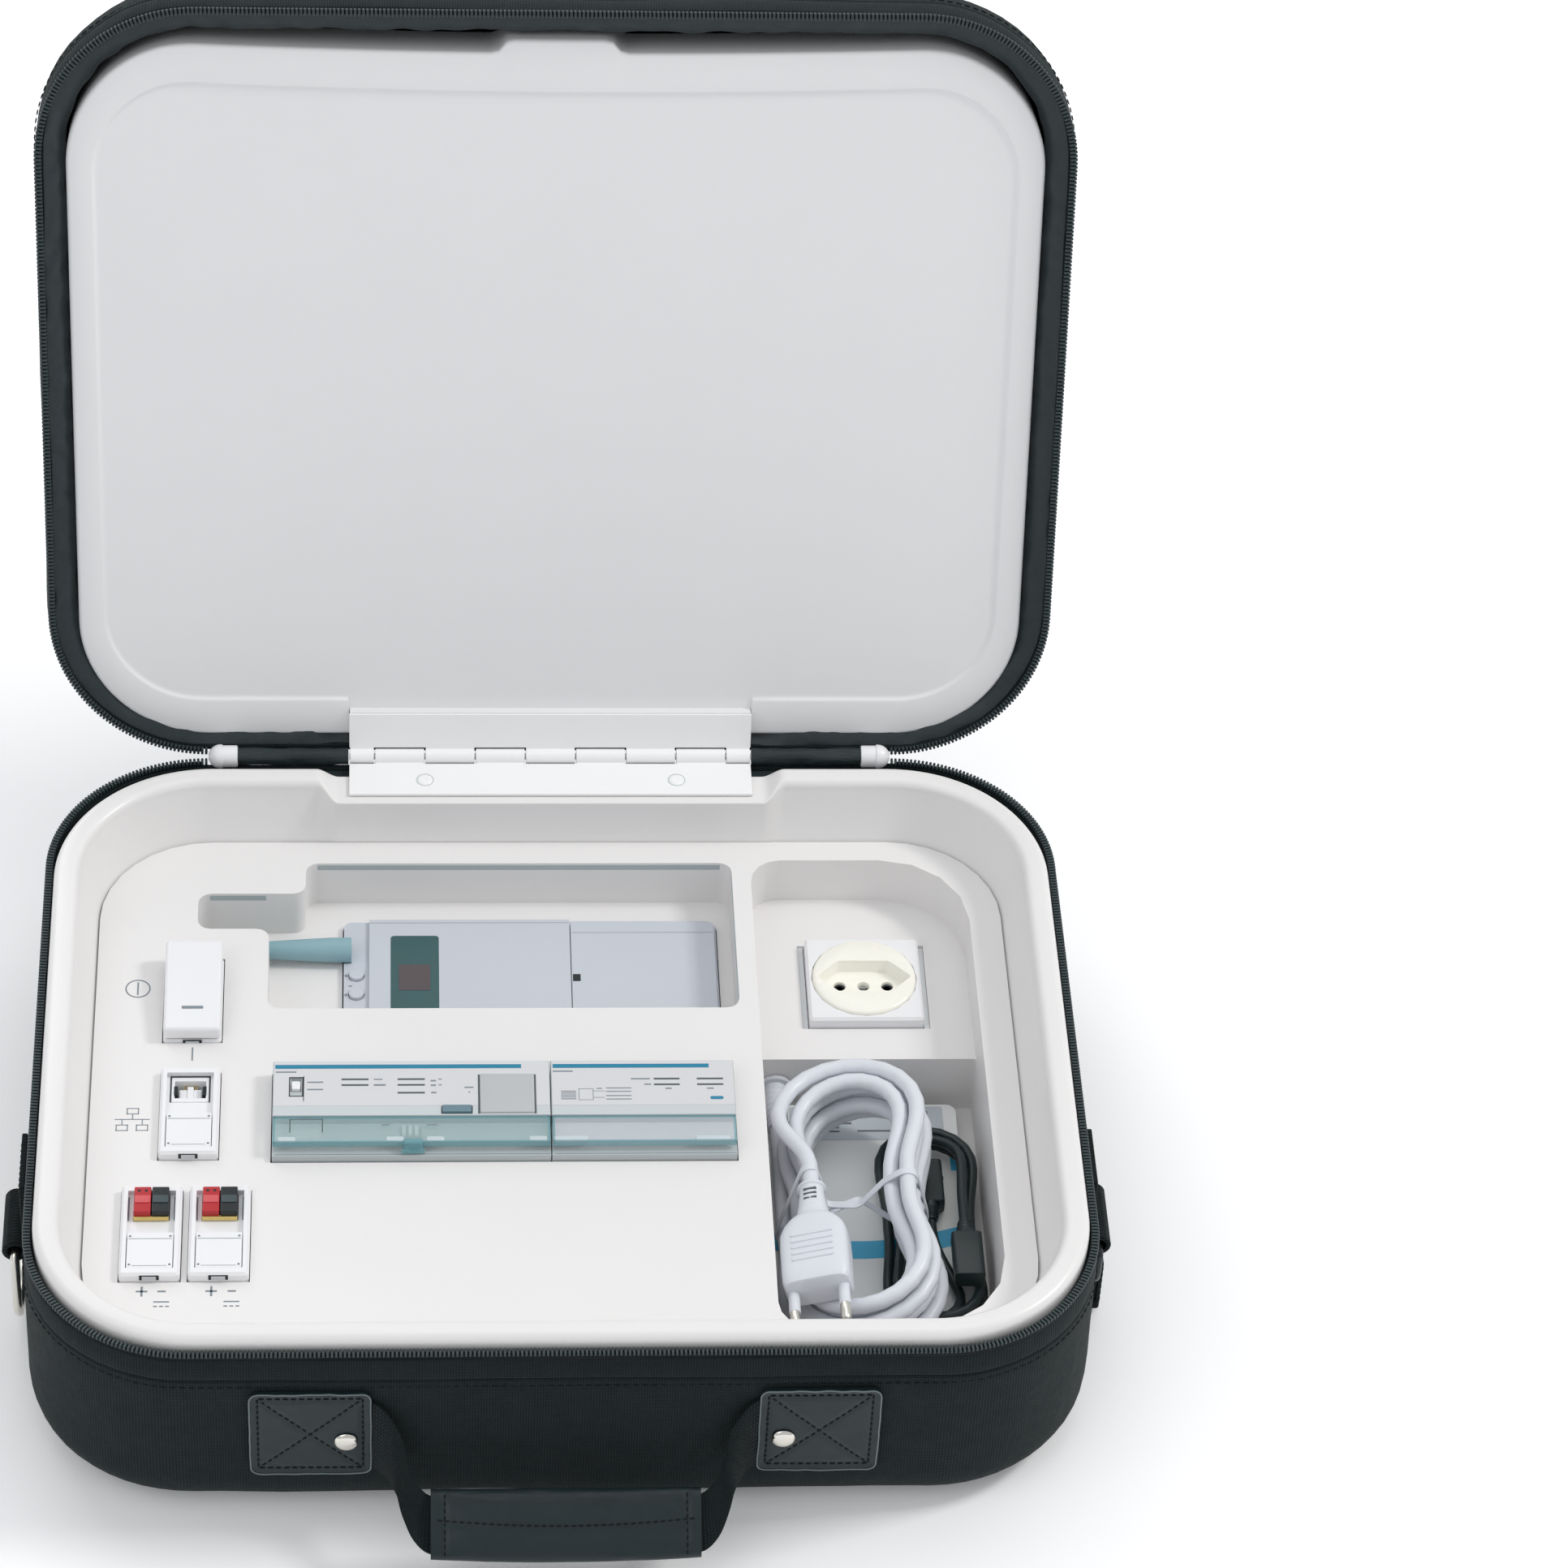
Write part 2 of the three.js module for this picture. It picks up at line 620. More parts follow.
// The row takes as many whole modules as its share of the deck's width has room for
const deckWidth = deckArea.right - deckArea.left;
const moduleCount = Math.floor(deckWidth * moduleShare.length / module.pitch);
const controlModules = Math.round(moduleCount * moduleShare.control);
const moduleY = along(deckArea, moduleShare.y);
const moduleLeft = across(deckArea, moduleShare.left);
const moduleSpan = {
  left: moduleLeft,
  right: moduleLeft + module.pitch * moduleCount,
  front: moduleY - module.nose / 2,
  rear: moduleY + module.nose / 2,
};

const insertX = across(deckArea, insertShare.x);
const busOffset = (insert.width + bus.between) / 2;
const rockerSpot = { x: insertX, y: along(deckArea, insertShare.rocker) };
const networkSpot = { x: insertX, y: along(deckArea, insertShare.network) };
const busSpots = [-1, 1].map((side) =>
  ({ x: insertX + side * busOffset, y: along(deckArea, insertShare.bus) }));

function makeDeck() {
  const low = deck.top - deck.thickness;
  const above = deck.top + overrun;
  const wall = deck.wall;
  const pocket = inside(gatewayArea, -runningGap);
  const outside = join(
    stack(deckArea, tray.corner - deckInset, [[0, low], [0, deck.top]]),
    upright(recessOutline(wall), shelfTop - wall, low + overrun / 2),
    upright(rectangle(inside(pocket, -wall), gateway.round + wall), gatewayFloor - wall, shelfTop),
    upright(wellOutline(wall), shelfTop - wall, low + overrun / 2),
    upright(compartmentOutline(wall), wellFloor - wall, shelfTop),
  );
  const level = block(
    [deckArea.left, deckArea.front, deck.top],
    [deckArea.right, deckArea.rear, above + overrun]);
  const hollows = [
    upright(recessOutline(0), shelfTop, above),
    upright(rectangle(pocket, gateway.round), gatewayFloor, shelfTop + gap),
    upright(wellOutline(0), shelfTop, above),
    upright(compartmentOutline(0), wellFloor, shelfTop + gap),
    upright(rectangle(inside(moduleSpan, -runningGap)), low - overrun, above),
    upright(rectangle(socketHoleArea()), shelfTop - wall - overrun, shelfTop + overrun),
    ...[rockerSpot, networkSpot, ...busSpots].map(({ x, y }) =>
      upright(rectangle(inside(around(x, y, insert.width, insert.length), -gap)), low - overrun, above)),
    grommetHole(),
  ];
  add(model, 'deck', cut(outside, level, ...hollows), trayWhite);
}

const socketHoleArea = () => around(
  socketSpot.x, socketSpot.y, socket.size + 2 * socket.sideGap, socket.size + 2 * socket.endGap);

// Devices on the rail: a housing with a nose that comes up through the deck
const noseTop = deck.top + module.noseProud;
const railTop = shell.wall + gap + rail.height;
const plateFront = moduleSpan.rear - plate.length;
const coverSeat = noseTop - plate.coverDrop;

function makeModule(name, from, to, ...hollows) {
  const shoulderZ = deck.top - deck.thickness - module.shoulder;
  const low = railTop + gap;
  const front = moduleY - module.bodyDepth / 2;
  const rear = moduleY + module.bodyDepth / 2;
  const profile = new THREE.Shape([
    [front, low],
    [rear, low],
    [rear, shoulderZ],
    [moduleSpan.rear, shoulderZ],
    [moduleSpan.rear, noseTop],
    [plateFront, noseTop],
    [plateFront, coverSeat],
    [moduleSpan.front, coverSeat],
    [moduleSpan.front, shoulderZ],
    [front, shoulderZ],
  ].map(([y, z]) => new THREE.Vector2(y, z)));
  add(model, name, cut(alongX(profile, from, to), ...hollows), moduleGrey);
}

const controlEnd = moduleLeft + module.pitch * controlModules - gap / 2;
const outputStart = controlEnd + gap;
const coverRear = plateFront - gap;

function makeCover(name, from, to) {
  const low = coverSeat + gap;
  const front = moduleSpan.front + coverSize.ledge;
  const under = noseTop - coverSize.thickness;
  const profile = rounded([
    [front, noseTop - coverSize.lip, 0],
    [front + coverSize.thickness, noseTop - coverSize.lip, 0],
    [front + coverSize.thickness, under, 0],
    [coverRear - 2 * coverSize.pivot, under, 0],
    [coverRear - 2 * coverSize.pivot, low, 0],
    [coverRear, low, 0],
    [coverRear, noseTop, coverSize.pivot],
    [front, noseTop, 0],
  ]);
  add(model, name, alongX(profile, from + gap, to - gap), clearTeal);
}

function makeModules() {
  const switchX = moduleLeft + modeSwitch.x;
  const switchY = moduleSpan.rear - modeSwitch.y;
  const knobArea = around(switchX, switchY, modeSwitch.width, modeSwitch.length);
  const slotArea = { ...knobArea, rear: knobArea.rear + modeSwitch.travel };
  const slotLow = noseTop - modeSwitch.height;
  const slot = upright(rectangle(inside(slotArea, -gap)), slotLow, noseTop + overrun);
  const knob = upright(rectangle(knobArea), slotLow + gap, noseTop + modeSwitch.height);
  const buttonX = moduleLeft + programButton.x;
  const buttonY = plateFront + programButton.y;
  const buttonArea = around(buttonX, buttonY, programButton.width, programButton.length);
  const buttonFoot = noseTop - programButton.travel - programButton.height;
  const buttonHole = upright(rectangle(inside(buttonArea, -gap)), buttonFoot - gap, noseTop + overrun);
  const buttonLow = buttonFoot + programButton.travel;
  const button = upright(rectangle(buttonArea), buttonLow, noseTop + programButton.height);
  makeModule('control_module', moduleLeft, controlEnd, slot, buttonHole);
  makeModule('output_module', outputStart, moduleSpan.right);
  add(model, 'mode_switch', knob, trayWhite);
  add(model, 'program_button', button, gatewayBlue);
  makeCover('control_label_cover', moduleLeft, controlEnd);
  makeCover('output_label_cover', outputStart, moduleSpan.right);
}

function makeRail() {
  const foot = shell.wall + gap;
  const sheet = rail.sheet;
  const half = rail.width / 2;
  const inner = rail.inner / 2;
  const y = moduleY;
  const profile = new THREE.Shape([
    [y - half, railTop - sheet],
    [y - inner, railTop - sheet],
    [y - inner, foot],
    [y + inner, foot],
    [y + inner, railTop - sheet],
    [y + half, railTop - sheet],
    [y + half, railTop],
    [y + inner - sheet, railTop],
    [y + inner - sheet, foot + sheet],
    [y - inner + sheet, foot + sheet],
    [y - inner + sheet, railTop],
    [y - half, railTop],
  ].map(([u, v]) => new THREE.Vector2(u, v)));
  const railBody = alongX(profile, moduleSpan.left - rail.overhang, moduleSpan.right + rail.overhang);
  add(model, 'din_rail', railBody, steel);
}

// Inserts in the deck
function insertBody(x, y, top) {
  const area = around(x, y, insert.width, insert.length);
  const low = deck.top - insert.depth;
  const corner = insert.chamfer + runningGap;
  return stack(area, corner, [[0, low], [0, top - insert.chamfer], [insert.chamfer, top]]);
}

function makeRocker() {
  const top = deck.top + rocker.mountProud;
  const { x, y } = rockerSpot;
  const sweep = (insert.length / 2) * Math.sin(THREE.MathUtils.degToRad(rocker.tilt)) + runningGap;
  const keyLow = top + sweep;
  const ridgeArea = around(x, y, insert.width - 2 * insert.chamfer, rocker.ridge);
  const ridge = upright(rectangle(ridgeArea), top - insert.chamfer, keyLow - gap);
  add(model, 'rocker_frame', join(insertBody(x, y, top), ridge), insertWhite);

  const tilted = new THREE.Group();
  tilted.position.set(x, y, keyLow);
  tilted.rotation.x = THREE.MathUtils.degToRad(rocker.tilt);
  model.add(tilted);
  const area = inside(around(0, 0, insert.width, insert.length), rocker.side);
  const corner = insert.chamfer + runningGap;
  const profile = [[0, gap], [0, rocker.height - insert.chamfer], [insert.chamfer, rocker.height]];
  add(tilted, 'rocker_key', stack(area, corner, profile), insertWhite);
}

const insertTop = deck.top + insert.proud;
const pocketFloor = insertTop - insertPocket.depth;

function insertFrame(x, y, holeWidth, holeLength, holeLow) {
  const pocketArea = around(x, y, insertPocket.width, insertPocket.length);
  const pocketCut = upright(rectangle(pocketArea), pocketFloor, insertTop + overrun);
  const holeRear = y + insertPocket.length / 2;
  const hole = block(
    [x - holeWidth / 2, holeRear - holeLength, holeLow],
    [x + holeWidth / 2, holeRear, insertTop + overrun]);
  return cut(insertBody(x, y, insertTop), pocketCut, hole);
}

function shutterBody(x, y) {
  const half = insertPocket.width / 2 - shutter.side;
  const front = y - insertPocket.length / 2 + shutter.side;
  const low = pocketFloor + gap;
  return block([x - half, front, low], [x + half, front + shutter.length, low + shutter.thickness]);
}

function makeNetwork() {
  const { x, y } = networkSpot;
  const jackTop = pocketFloor;
  const jackLow = jackTop - network.jackDepth;
  const rear = y + insertPocket.length / 2 - gap;
  const front = rear - network.jackLength;
  const holeWidth = network.jackWidth + 2 * gap;
  const holeLength = network.jackLength + 2 * gap;
  const frameBody = insertFrame(x, y, holeWidth, holeLength, jackLow - gap);
  add(model, 'network_frame', frameBody, insertWhite);
  const middle = (front + rear) / 2;
  const jackArea = around(x, middle, network.jackWidth, network.jackLength);
  const portArea = around(x, middle, jackPort.width, jackPort.length);
  const jack = upright(rectangle(jackArea), jackLow, jackTop);
  const port = upright(rectangle(portArea), jackTop - jackPort.depth, jackTop + overrun);
  add(model, 'network_jack', cut(jack, port), jackGrey);
  add(model, 'network_shutter', shutterBody(x, y), insertWhite);
}

function makeBus({ x, y }, number) {
  const top = insertTop + terminal.proud;
  const low = top - terminal.height;
  const rear = y + insertPocket.length / 2 - gap;
  const front = rear - bus.terminalLength;
  const holeWidth = 2 * bus.terminalWidth + 3 * gap;
  const holeLength = bus.terminalLength + 2 * gap;
  const frameBody = insertFrame(x, y, holeWidth, holeLength, low - gap);
  add(model, `bus_frame_${number}`, frameBody, insertWhite);
  const half = (offset) => block(
    [x + offset, front, low],
    [x + offset + bus.terminalWidth, rear, top]);
  add(model, `bus_terminal_red_${number}`, half(-bus.terminalWidth - gap / 2), terminalRed);
  add(model, `bus_terminal_black_${number}`, half(gap / 2), terminalBlack);
  add(model, `bus_shutter_${number}`, shutterBody(x, y), insertWhite);
}

function makeSocket() {
  const { x, y } = socketSpot;
  const top = shelfTop + socket.proud;
  const low = top - socket.depth;
  const area = around(x, y, socket.size, socket.size);
  const corner = insert.chamfer + runningGap;
  const housing = stack(area, corner, [[0, low], [0, top - insert.chamfer], [insert.chamfer, top]]);
  const seatRadius = socket.face + gap;
  const seatLow = top - socketRecess.depth - socketHole.depth - gap;
  const seat = cylinder([x, y, seatLow], [x, y, top + overrun], seatRadius);
  add(model, 'socket_frame', cut(housing, seat), insertWhite);

  const face = top + socket.faceProud;
  const round = cylinder([x, y, seatLow + gap], [x, y, face], socket.face);
  const half = socketRecess.length / 2;
  const flank = half - socketRecess.taper;
  const side = socketRecess.width / 2;
  const hexagon = new THREE.Shape([
    [-half, 0], [-flank, -side], [flank, -side], [half, 0], [flank, side], [-flank, side],
  ].map(([u, v]) => new THREE.Vector2(x + u, y + v)));
  const floor = face - socketRecess.depth;
  const holes = [-1, 0, 1].map((k) => cylinder(
    [x + k * socketHole.pitch, y, floor - socketHole.depth + overrun],
    [x + k * socketHole.pitch, y, floor + overrun],
    socketHole.radius, socketHole.radius, smallRoundSteps));
  add(model, 'socket_insert', cut(round, upright(hexagon, floor, face + overrun), ...holes), ivory);
}

// Gateway: a flat housing with a lift-off cover, two buttons and an antenna
function makeGateway() {
  const { left, right, front, rear } = gatewayArea;
  const low = gatewayFloor + gap;
  const top = gatewayTop;
  const endTop = top - gatewayEnd.drop;
  const coverLeft = right - gatewayCover.length;
  const coverLow = top - gatewayCover.thickness;
  const housing = upright(rectangle(gatewayArea, gateway.round), low, top);
  const endStep = block(
    [left - overrun, front - overrun, endTop],
    [left + gatewayEnd.length, rear + overrun, top + overrun]);
  const coverSpace = block(
    [coverLeft - gap, front - overrun, coverLow - gap],
    [right + overrun, rear + overrun, top + overrun]);
  const buttonX = left + gatewayEnd.length / 2;
  const buttonLow = endTop - gatewayButton.height;
  const wells = [0, 1].map((k) => {
    const y = rear - gatewayButton.first - k * gatewayButton.pitch;
    return cylinder(
      [buttonX, y, buttonLow - gatewayButton.travel], [buttonX, y, top + overrun],
      gatewayButton.radius + gap, gatewayButton.radius + gap, smallRoundSteps);
  });
  const antennaZ = shelfTop + runningGap + antenna.rootRadius;
  const rootX = antennaRoot;
  const antennaSpace = cylinder(
    [rootX, antennaY, antennaZ], [left - overrun, antennaY, antennaZ], antenna.rootRadius + gap);
  add(model, 'gateway_housing', cut(housing, endStep, coverSpace, antennaSpace, ...wells), gatewayBlue);
  const { inset } = gatewayCover;
  const coverShape = rounded([
    [coverLeft, front + inset, 0],
    [right - inset, front + inset, gateway.round],
    [right - inset, rear - inset, gateway.round],
    [coverLeft, rear - inset, 0],
  ]);
  add(model, 'gateway_cover', upright(coverShape, coverLow, top), gatewayBlue);
  [0, 1].forEach((k) => {
    const y = rear - gatewayButton.first - k * gatewayButton.pitch;
    const button = cylinder(
      [buttonX, y, buttonLow + gap], [buttonX, y, endTop + gatewayButton.height],
      gatewayButton.radius, gatewayButton.radius, smallRoundSteps);
    add(model, `gateway_button_${k + 1}`, button, gatewayBlue);
  });
  const rod = cylinder(
    [rootX - gap, antennaY, antennaZ], [rootX - gap - antenna.length, antennaY, antennaZ],
    antenna.rootRadius, antenna.tipRadius);
  add(model, 'gateway_antenna', rod, antennaTeal);
}

// Handle: two stitched patches, a strap and a grip that swing together
function makePatch(name, side) {
  const face = -halfDepth - gap;
  const half = patch.size / 2;
  const patchBody = block(
    [side * patch.x - half, face - patch.thickness, patch.z - half],
    [side * patch.x + half, face, patch.z + half]);
  add(model, `handle_patch_${name}`, patchBody, leatherette);
  const x = side * (patch.x - half + rivet.inset);
  const z = patch.z - rivet.drop;
  const head = face - patch.thickness - gap;
  add(model, `handle_rivet_${name}`, cylinder(
    [x, head, z], [x, head - rivet.height, z], rivet.radius, rivet.radius / 2, smallRoundSteps), nickel);
}

function makeHandle() {
  const swing = new THREE.Group();
  swing.position.set(0, -halfDepth - handle.pivotOut, patch.z - handle.pivotDrop);
  swing.rotation.x = THREE.MathUtils.degToRad(handle.droop);
  model.add(swing);

  const start = patch.x - patch.size / 2 - gap;
  const wide = handle.strapWidth;
  const reach = handle.reach + wide / 2;
  const gripHalf = grip.length / 2;
  const inner = gripHalf + wide / 4;
  const shape = new THREE.Shape();
  shape.moveTo(-start, 0);
  shape.bezierCurveTo(-start + wide / 2, -wide / 2, -gripHalf - wide / 2, -reach, -gripHalf, -reach);
  shape.lineTo(gripHalf, -reach);
  shape.bezierCurveTo(gripHalf + wide / 2, -reach, start - wide / 2, -wide / 2, start, 0);
  shape.lineTo(start - wide, 0);
  shape.bezierCurveTo(inner, -wide / 2, inner, -reach + wide, gripHalf, -reach + wide);
  shape.lineTo(-gripHalf, -reach + wide);
  shape.bezierCurveTo(-inner, -reach + wide, -inner, -wide / 2, -start + wide, 0);
  shape.closePath();
  const half = handle.strapThickness / 2;
  add(swing, 'handle_strap', upright(shape, -half, half), webbing);

  const middle = -handle.reach;
  const area = around(middle, 0, grip.width, grip.thickness);
  const section = rounded([
    [area.left, area.front, grip.round],
    [area.right, area.front, grip.round],
    [area.right, area.rear, grip.round],
    [area.left, area.rear, grip.round],
  ]);
  const slotArea = inside(around(middle, 0, wide, handle.strapThickness), -gap);
  const slot = alongX(rectangle(slotArea), -grip.length / 2 - overrun, grip.length / 2 + overrun);
  add(swing, 'handle_grip', cut(alongX(section, -grip.length / 2, grip.length / 2), slot), leatherette);
}

// Side fittings: a webbing tab with an eye, and the ring that swings in it
function makeTab(name, side) {
  const wallX = side * (halfWidth + gap);
  const eyeX = side * (halfWidth + gap + tab.loop);
  const eyeZ = tab.bottom - tab.drop;
  const outX = wallX + side * tab.thickness;
  const [low, high] = [wallX, outX].sort((a, b) => a - b);
  const front = tab.y - tab.width / 2;
  const rear = tab.y + tab.width / 2;
  const strip = block([low, front, eyeZ], [high, rear, tab.bottom + tab.height]);
  const eye = cylinder([eyeX, front, eyeZ], [eyeX, rear, eyeZ], tab.loop);
  const bore = cylinder(
    [eyeX, front - overrun, eyeZ], [eyeX, rear + overrun, eyeZ], tab.bore, tab.bore, smallRoundSteps);
  add(model, `side_tab_${name}`, cut(join(strip, eye), bore), webbing);
}

function makeRing(name, side, drop) {
  const eyeX = side * (halfWidth + gap + tab.loop);
  const eyeZ = tab.bottom - tab.drop;
  const wire = ring.wire;
  const half = ring.width / 2;
  const bend = Math.min(half - wire, drop / 2);
  const outline = (grow, top) => rounded([
    [tab.y - half - grow, top, grow],
    [tab.y - half - grow, eyeZ - drop - grow, bend + grow],
    [tab.y + half + grow, eyeZ - drop - grow, bend + grow],
    [tab.y + half + grow, top, grow],
  ]);
  const low = eyeX - wire / 2;
  const high = eyeX + wire / 2;
  const outer = alongX(outline(wire / 2, eyeZ + wire / 2), low, high);
  const inner = alongX(outline(-wire / 2, eyeZ - wire / 2), low - overrun, high + overrun);
  add(model, `d_ring_${name}`, cut(outer, inner), side < 0 ? nickel : darkMetal);
}

function makePull() {
  const x = halfWidth + gap + tab.loop;
  const z = tab.bottom - tab.drop - ringDrop.right;
  const outer = pull.bend;
  const inner = pull.bend - pull.thickness;
  const low = z - pull.length;
  const front = tab.y - pull.width / 2;
  const rear = tab.y + pull.width / 2;
  const bend = cylinder([x, front, z], [x, rear, z], outer, outer, smallRoundSteps);
  const legs = block([x - inner, front, low], [x + outer, rear, z]);
  const eye = cylinder([x, front - overrun, z], [x, rear + overrun, z], inner, inner, smallRoundSteps);
  const split = block(
    [x - inner + pull.thickness, front - overrun, low + pull.thickness],
    [x + inner, rear + overrun, z]);
  add(model, 'webbing_pull', cut(join(bend, legs), eye, split), webbing);
}

// Cords. Loops lie on a long oval drawn in at its waist and spiral in and out, layer on layer
function ovalAt(angle, offset, size) {
  const half = size.run / 2;
  const turn = ((angle % 1) + 1) % 1;
  const arc = Math.PI * size.fold;
  const whole = 2 * size.run + 2 * arc;
  let along = turn * whole;
  const draw = (y) => {
    const share = THREE.MathUtils.clamp((Math.abs(y) - size.diameter) / (half - size.diameter), 0, 1);
    return size.waist * (1 + Math.cos(Math.PI * share)) / 2;
  };
  if (along < half) return new THREE.Vector2(-size.fold - offset + draw(along), -along);
  along -= half;
  if (along < arc) {
    const bow = along / size.fold;
    const radius = size.fold + offset;
    return new THREE.Vector2(-radius * Math.cos(bow), -half - radius * Math.sin(bow));
  }
  along -= arc;
  if (along < size.run) return new THREE.Vector2(size.fold + offset - draw(along - half), along - half);
  along -= size.run;
  if (along < arc) {
    const bow = along / size.fold;
    const radius = size.fold + offset;
    return new THREE.Vector2(radius * Math.cos(bow), half + radius * Math.sin(bow));
  }
  along -= arc;
  return new THREE.Vector2(-size.fold - offset + draw(half - along), half - along);
}

const headingAt = (turn, side) =>
  new THREE.Vector3(-side * Math.sin(2 * Math.PI * turn), -Math.cos(2 * Math.PI * turn), 0);

function hankPath(size) {
  const pitch = size.diameter + strandGap;
  const total = size.loopsPerLayer * size.layers;
  const count = Math.round(total * loopSteps);
  const points = [];
  for (let i = 0; i <= count; i += 1) {
    const turn = total * i / count;
    const layer = Math.min(Math.floor(turn / size.loopsPerLayer), size.layers - 1);
    const within = turn - layer * size.loopsPerLayer;
    const outward = (layer % 2 === 0) === size.inside;
    const nearest = Math.round(turn / size.loopsPerLayer);
    const climbing = nearest > 0 && nearest < size.layers;
    const past = turn - nearest * size.loopsPerLayer;
    const climb = THREE.MathUtils.clamp((past + climbTurns / 2) / climbTurns, 0, 1);
    const level = climbing ? nearest - 1 + climb : layer;
    const early = 1 - THREE.MathUtils.smoothstep(turn, 0, endTurns);
    const late = THREE.MathUtils.smoothstep(turn, total - endTurns, total);
    const offset = (outward ? within : size.loopsPerLayer - within) * pitch
      + size.startShift * early + size.endShift * late ** 3;
    const spot = ovalAt(turn, offset, size);
    const height = (level + 0.5) * pitch + size.startRise * early + size.endRise * late;
    points.push(new THREE.Vector3(-size.side * spot.x, spot.y, height));
  }
  const before = headingAt(0, size.side).multiplyScalar(-size.diameter).add(points[0]);
  const after = headingAt(total, size.side).multiplyScalar(size.diameter).add(points.at(-1));
  return [before, ...points, after];
}

// Gap between strands that are further apart along the cord than a fold is wide
const apartAlong = 4;

function leastGap(points, diameter) {
  const fine = points.slice(1).flatMap((point, i) =>
    Array.from({ length: curveSteps }, (unused, k) => points[i].clone().lerp(point, k / curveSteps)));
  const along = [0];
  fine.slice(1).forEach((point, i) => along.push(along[i] + point.distanceTo(fine[i])));
  let least = Infinity;
  fine.forEach((point, i) => fine.slice(i + 1).forEach((other, k) => {
    const far = along[i + 1 + k] - along[i] > apartAlong * diameter;
    if (far) least = Math.min(least, point.distanceTo(other) - diameter);
  }));
  return { least, length: along.at(-1) };
}

// The mains cord lies on the guide and leans on the network cable, which is beside it
const mainsTurn = new THREE.Matrix4().makeRotationY(-THREE.MathUtils.degToRad(mainsSpot.tilt));
const mainsLocal = hankPath(mains);
const mainsTilted = mainsLocal.map((point) => point.clone().applyMatrix4(mainsTurn));
const mainsLow = Math.min(...mainsTilted.map((point) => point.z)) - mains.diameter / 2;
const mainsShift = new THREE.Vector3(mainsSpot.x, mainsSpot.y, -mainsLow);
const mainsPath = mainsTilted.map((point) => point.clone().add(mainsShift));
const cableShift = new THREE.Vector3(cableSpot.x, cableSpot.y, -strandGap / 2);
const cablePath = hankPath(cable).map((point) => point.clone().add(cableShift));

// Both are scaled to the room that the compartment gives them with their margins
const cordBox = new THREE.Box3().setFromPoints([...mainsPath, ...cablePath]).getSize(new THREE.Vector3());
const fit = Math.min(
  (compartment.right - compartment.left) / (cordBox.x + cordMargin.width),
  (compartment.rear - compartment.front) / (cordBox.y + cordMargin.length));
const roomMiddle = new THREE.Vector3(
  across(compartment, 1 / 2), along(compartment, 1 / 2), wellFloor + guide.thickness + 2 * gap);
const leadStart = mainsPath[0].clone().multiplyScalar(fit).add(roomMiddle);
const inRoom = (solid) => solid.scale(fit).translate(roomMiddle.toArray());

const grommetHole = () => cylinder(
  [leadStart.x, shelfFront - overrun, leadStart.z],
  [leadStart.x, shelfFront + deck.wall + overrun, leadStart.z],
  grommet.radius * fit + gap, grommet.radius * fit + gap, smallRoundSteps);

function makeCords() {
  const { x, z } = leadStart;
  const wall = shelfFront - gap;
  const face = wall - grommet.flangeThickness;
  const tip = face - grommet.taper * fit;
  const inner = shelfFront + grommet.length;
  const part = (from, to, radius, endRadius = radius) =>
    cylinder([x, from, z], [x, to, z], radius * fit, endRadius * fit, smallRoundSteps);
  const barrel = part(inner, wall, grommet.radius);
  const flange = part(wall, face, grommet.flange);
  const relief = part(face, tip, grommet.radius, grommet.tip);
  const bore = part(inner + overrun, tip - overrun, grommet.bore);
  add(model, 'cord_grommet', cut(join(barrel, flange, relief), bore), cableBlack);

  const end = leadStart.y + gap;
  const leadSteps = 6;
  const lead = Array.from({ length: leadSteps + 1 }, (unused, k) =>
    new THREE.Vector3(x, inner + (end - inner) * k / leadSteps, z));
  add(model, 'mains_cord_lead', tube(lead, mains.diameter * fit, leadSides), cordWhite);
  add(model, 'mains_cord_hank', inRoom(tube(mainsPath, mains.diameter, strandSides)), cordWhite);
  add(model, 'cable_hank', inRoom(tube(cablePath, cable.diameter, strandSides)), cableBlack);
  for (const [name, path, size] of [['mains', mainsPath, mains], ['cable', cablePath, cable]]) {
    const { least, length } = leastGap(path, size.diameter);
    console.log(`${name} hank: least gap ${least.toFixed(2)}, length ${length.toFixed(0)}`);
  }
}

function makeCablePlug(number, point, heading) {
  const bootStart = point.clone().addScaledVector(heading, gap);
  const bootEnd = bootStart.clone().addScaledVector(heading, cablePlug.boot);
  const boot = cylinder(
    bootStart.toArray(), bootEnd.toArray(), cablePlug.bootEnd, cablePlug.bootRoot, smallRoundSteps);
  const near = bootEnd.y - heading.y * gap;
  const far = bootEnd.y + heading.y * cablePlug.length;
  const area = around(point.x, (near + far) / 2, cablePlug.width, Math.abs(far - near));
  const low = point.z - cablePlug.height / 2;
  const top = point.z + cablePlug.height / 2;
  const { chamfer } = cablePlug;
  const profile = [[chamfer, low], [0, low + chamfer], [0, top - chamfer], [chamfer, top]];
  const housing = stack(area, chamfer + gap, profile);
  add(model, `cable_plug_${number}`, inRoom(join(housing, boot)), cableBlack);
}

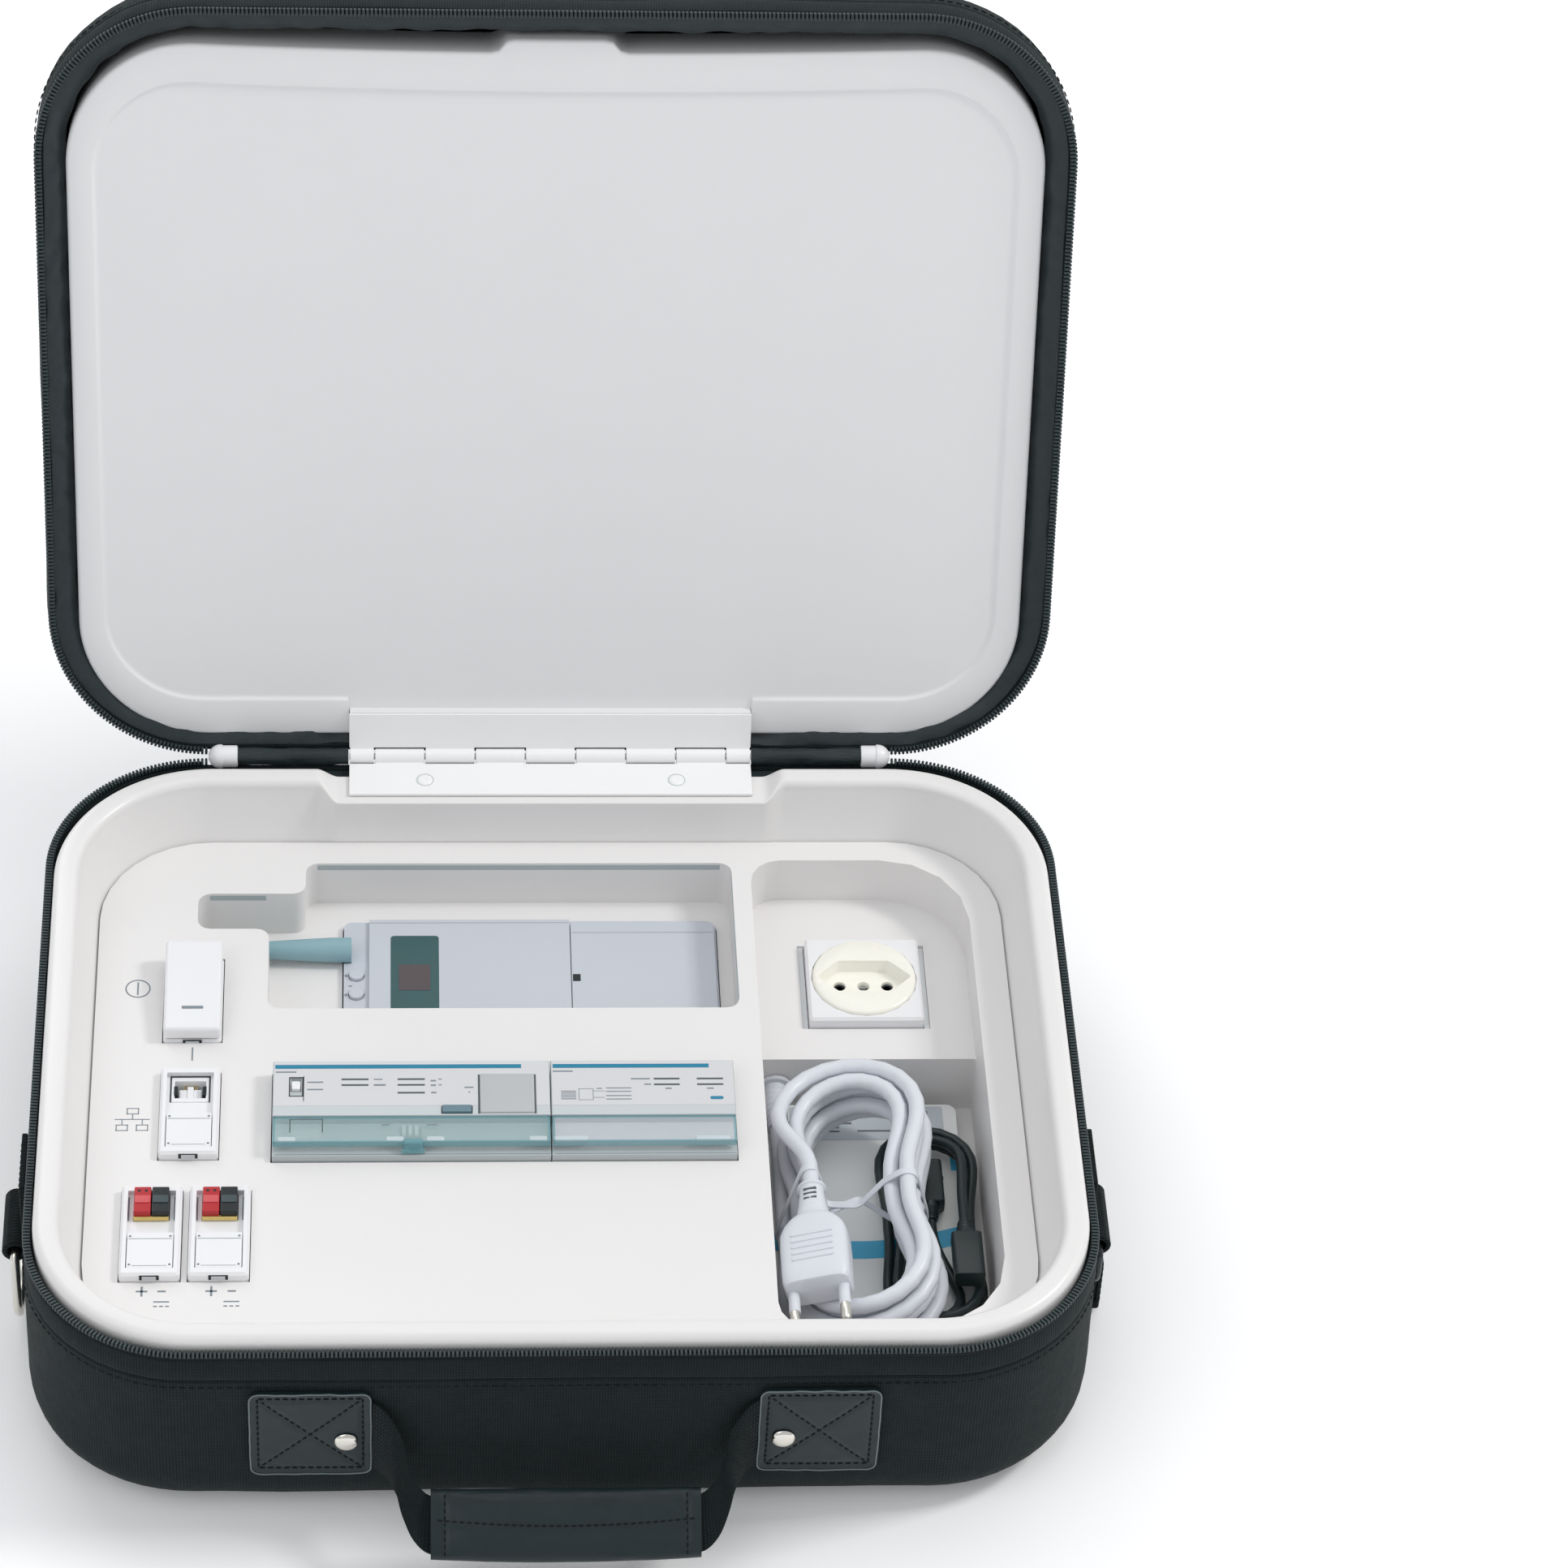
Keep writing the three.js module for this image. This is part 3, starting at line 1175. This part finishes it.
function makePlug() {
  const { x, y, z } = mainsLocal.at(-1);
  const neckStart = y - gap;
  const neckEnd = neckStart - plug.neck;
  const neck = cylinder([x, neckStart, z], [x, neckEnd, z], plug.neckEnd, plug.neckRoot, smallRoundSteps);
  const low = neckEnd - plug.length;
  const half = plug.width / 2;
  const thick = plug.thickness / 2;
  const shoulder = plug.neckRoot;
  const outline = rounded([
    [x - shoulder, neckEnd + overrun / 2, 0],
    [x - half, neckEnd - plug.round, plug.round],
    [x - half, low, plug.round],
    [x + half, low, plug.round],
    [x + half, neckEnd - plug.round, plug.round],
    [x + shoulder, neckEnd + overrun / 2, 0],
  ]);
  const plugBody = upright(outline, z - thick, z + thick);
  const pins = [-1, 1].map((side) => cylinder(
    [x + side * plugPin.pitch, low + overrun, z],
    [x + side * plugPin.pitch, low - plugPin.length, z],
    plugPin.radius, plugPin.radius, smallRoundSteps));
  const whole = join(plugBody, neck, ...pins);
  const lying = whole.rotate([0, -mainsSpot.tilt, 0]).translate(mainsShift.toArray());
  add(model, 'mains_plug', inRoom(lying), cordWhite);
}

function makeGuide() {
  const left = compartment.left + guide.left;
  const right = compartment.right - guide.right;
  const front = compartment.front + guide.front;
  const rear = compartment.rear - guide.rear;
  const low = wellFloor + gap;
  const shape = rounded([
    [left, front, guide.corner],
    [right, front, well.frontCorner - guide.corner],
    [right, rear, guide.corner],
    [left, rear, guide.corner],
  ]);
  add(model, 'user_guide', upright(shape, low, low + guide.thickness), paper);
}

makeBaseShell();
makeBaseLining();
add(model, 'base_zip', zipRing(rim + gap), zipBlack);
makeLidShell();
makeLidLining();
add(lidSpace, 'lid_zip', zipRing(lidZ(gap)), zipBlack);
makeLidLiner();
makeHinge();
makeSpine('left', -1);
makeSpine('right', 1);
makeTray();
makeDeck();
makeRail();
makeModules();
makeRocker();
makeNetwork();
busSpots.forEach((spot, i) => makeBus(spot, i + 1));
makeSocket();
makeGateway();
makePatch('left', -1);
makePatch('right', 1);
makeHandle();
makeTab('left', -1);
makeTab('right', 1);
makeRing('left', -1, ringDrop.left);
makeRing('right', 1, ringDrop.right);
makePull();
makeCords();
makeCablePlug(1, cablePath[0], headingAt(0, cable.side).negate());
makeCablePlug(2, cablePath.at(-1), headingAt(0, cable.side));
makePlug();
makeGuide();

export default model;
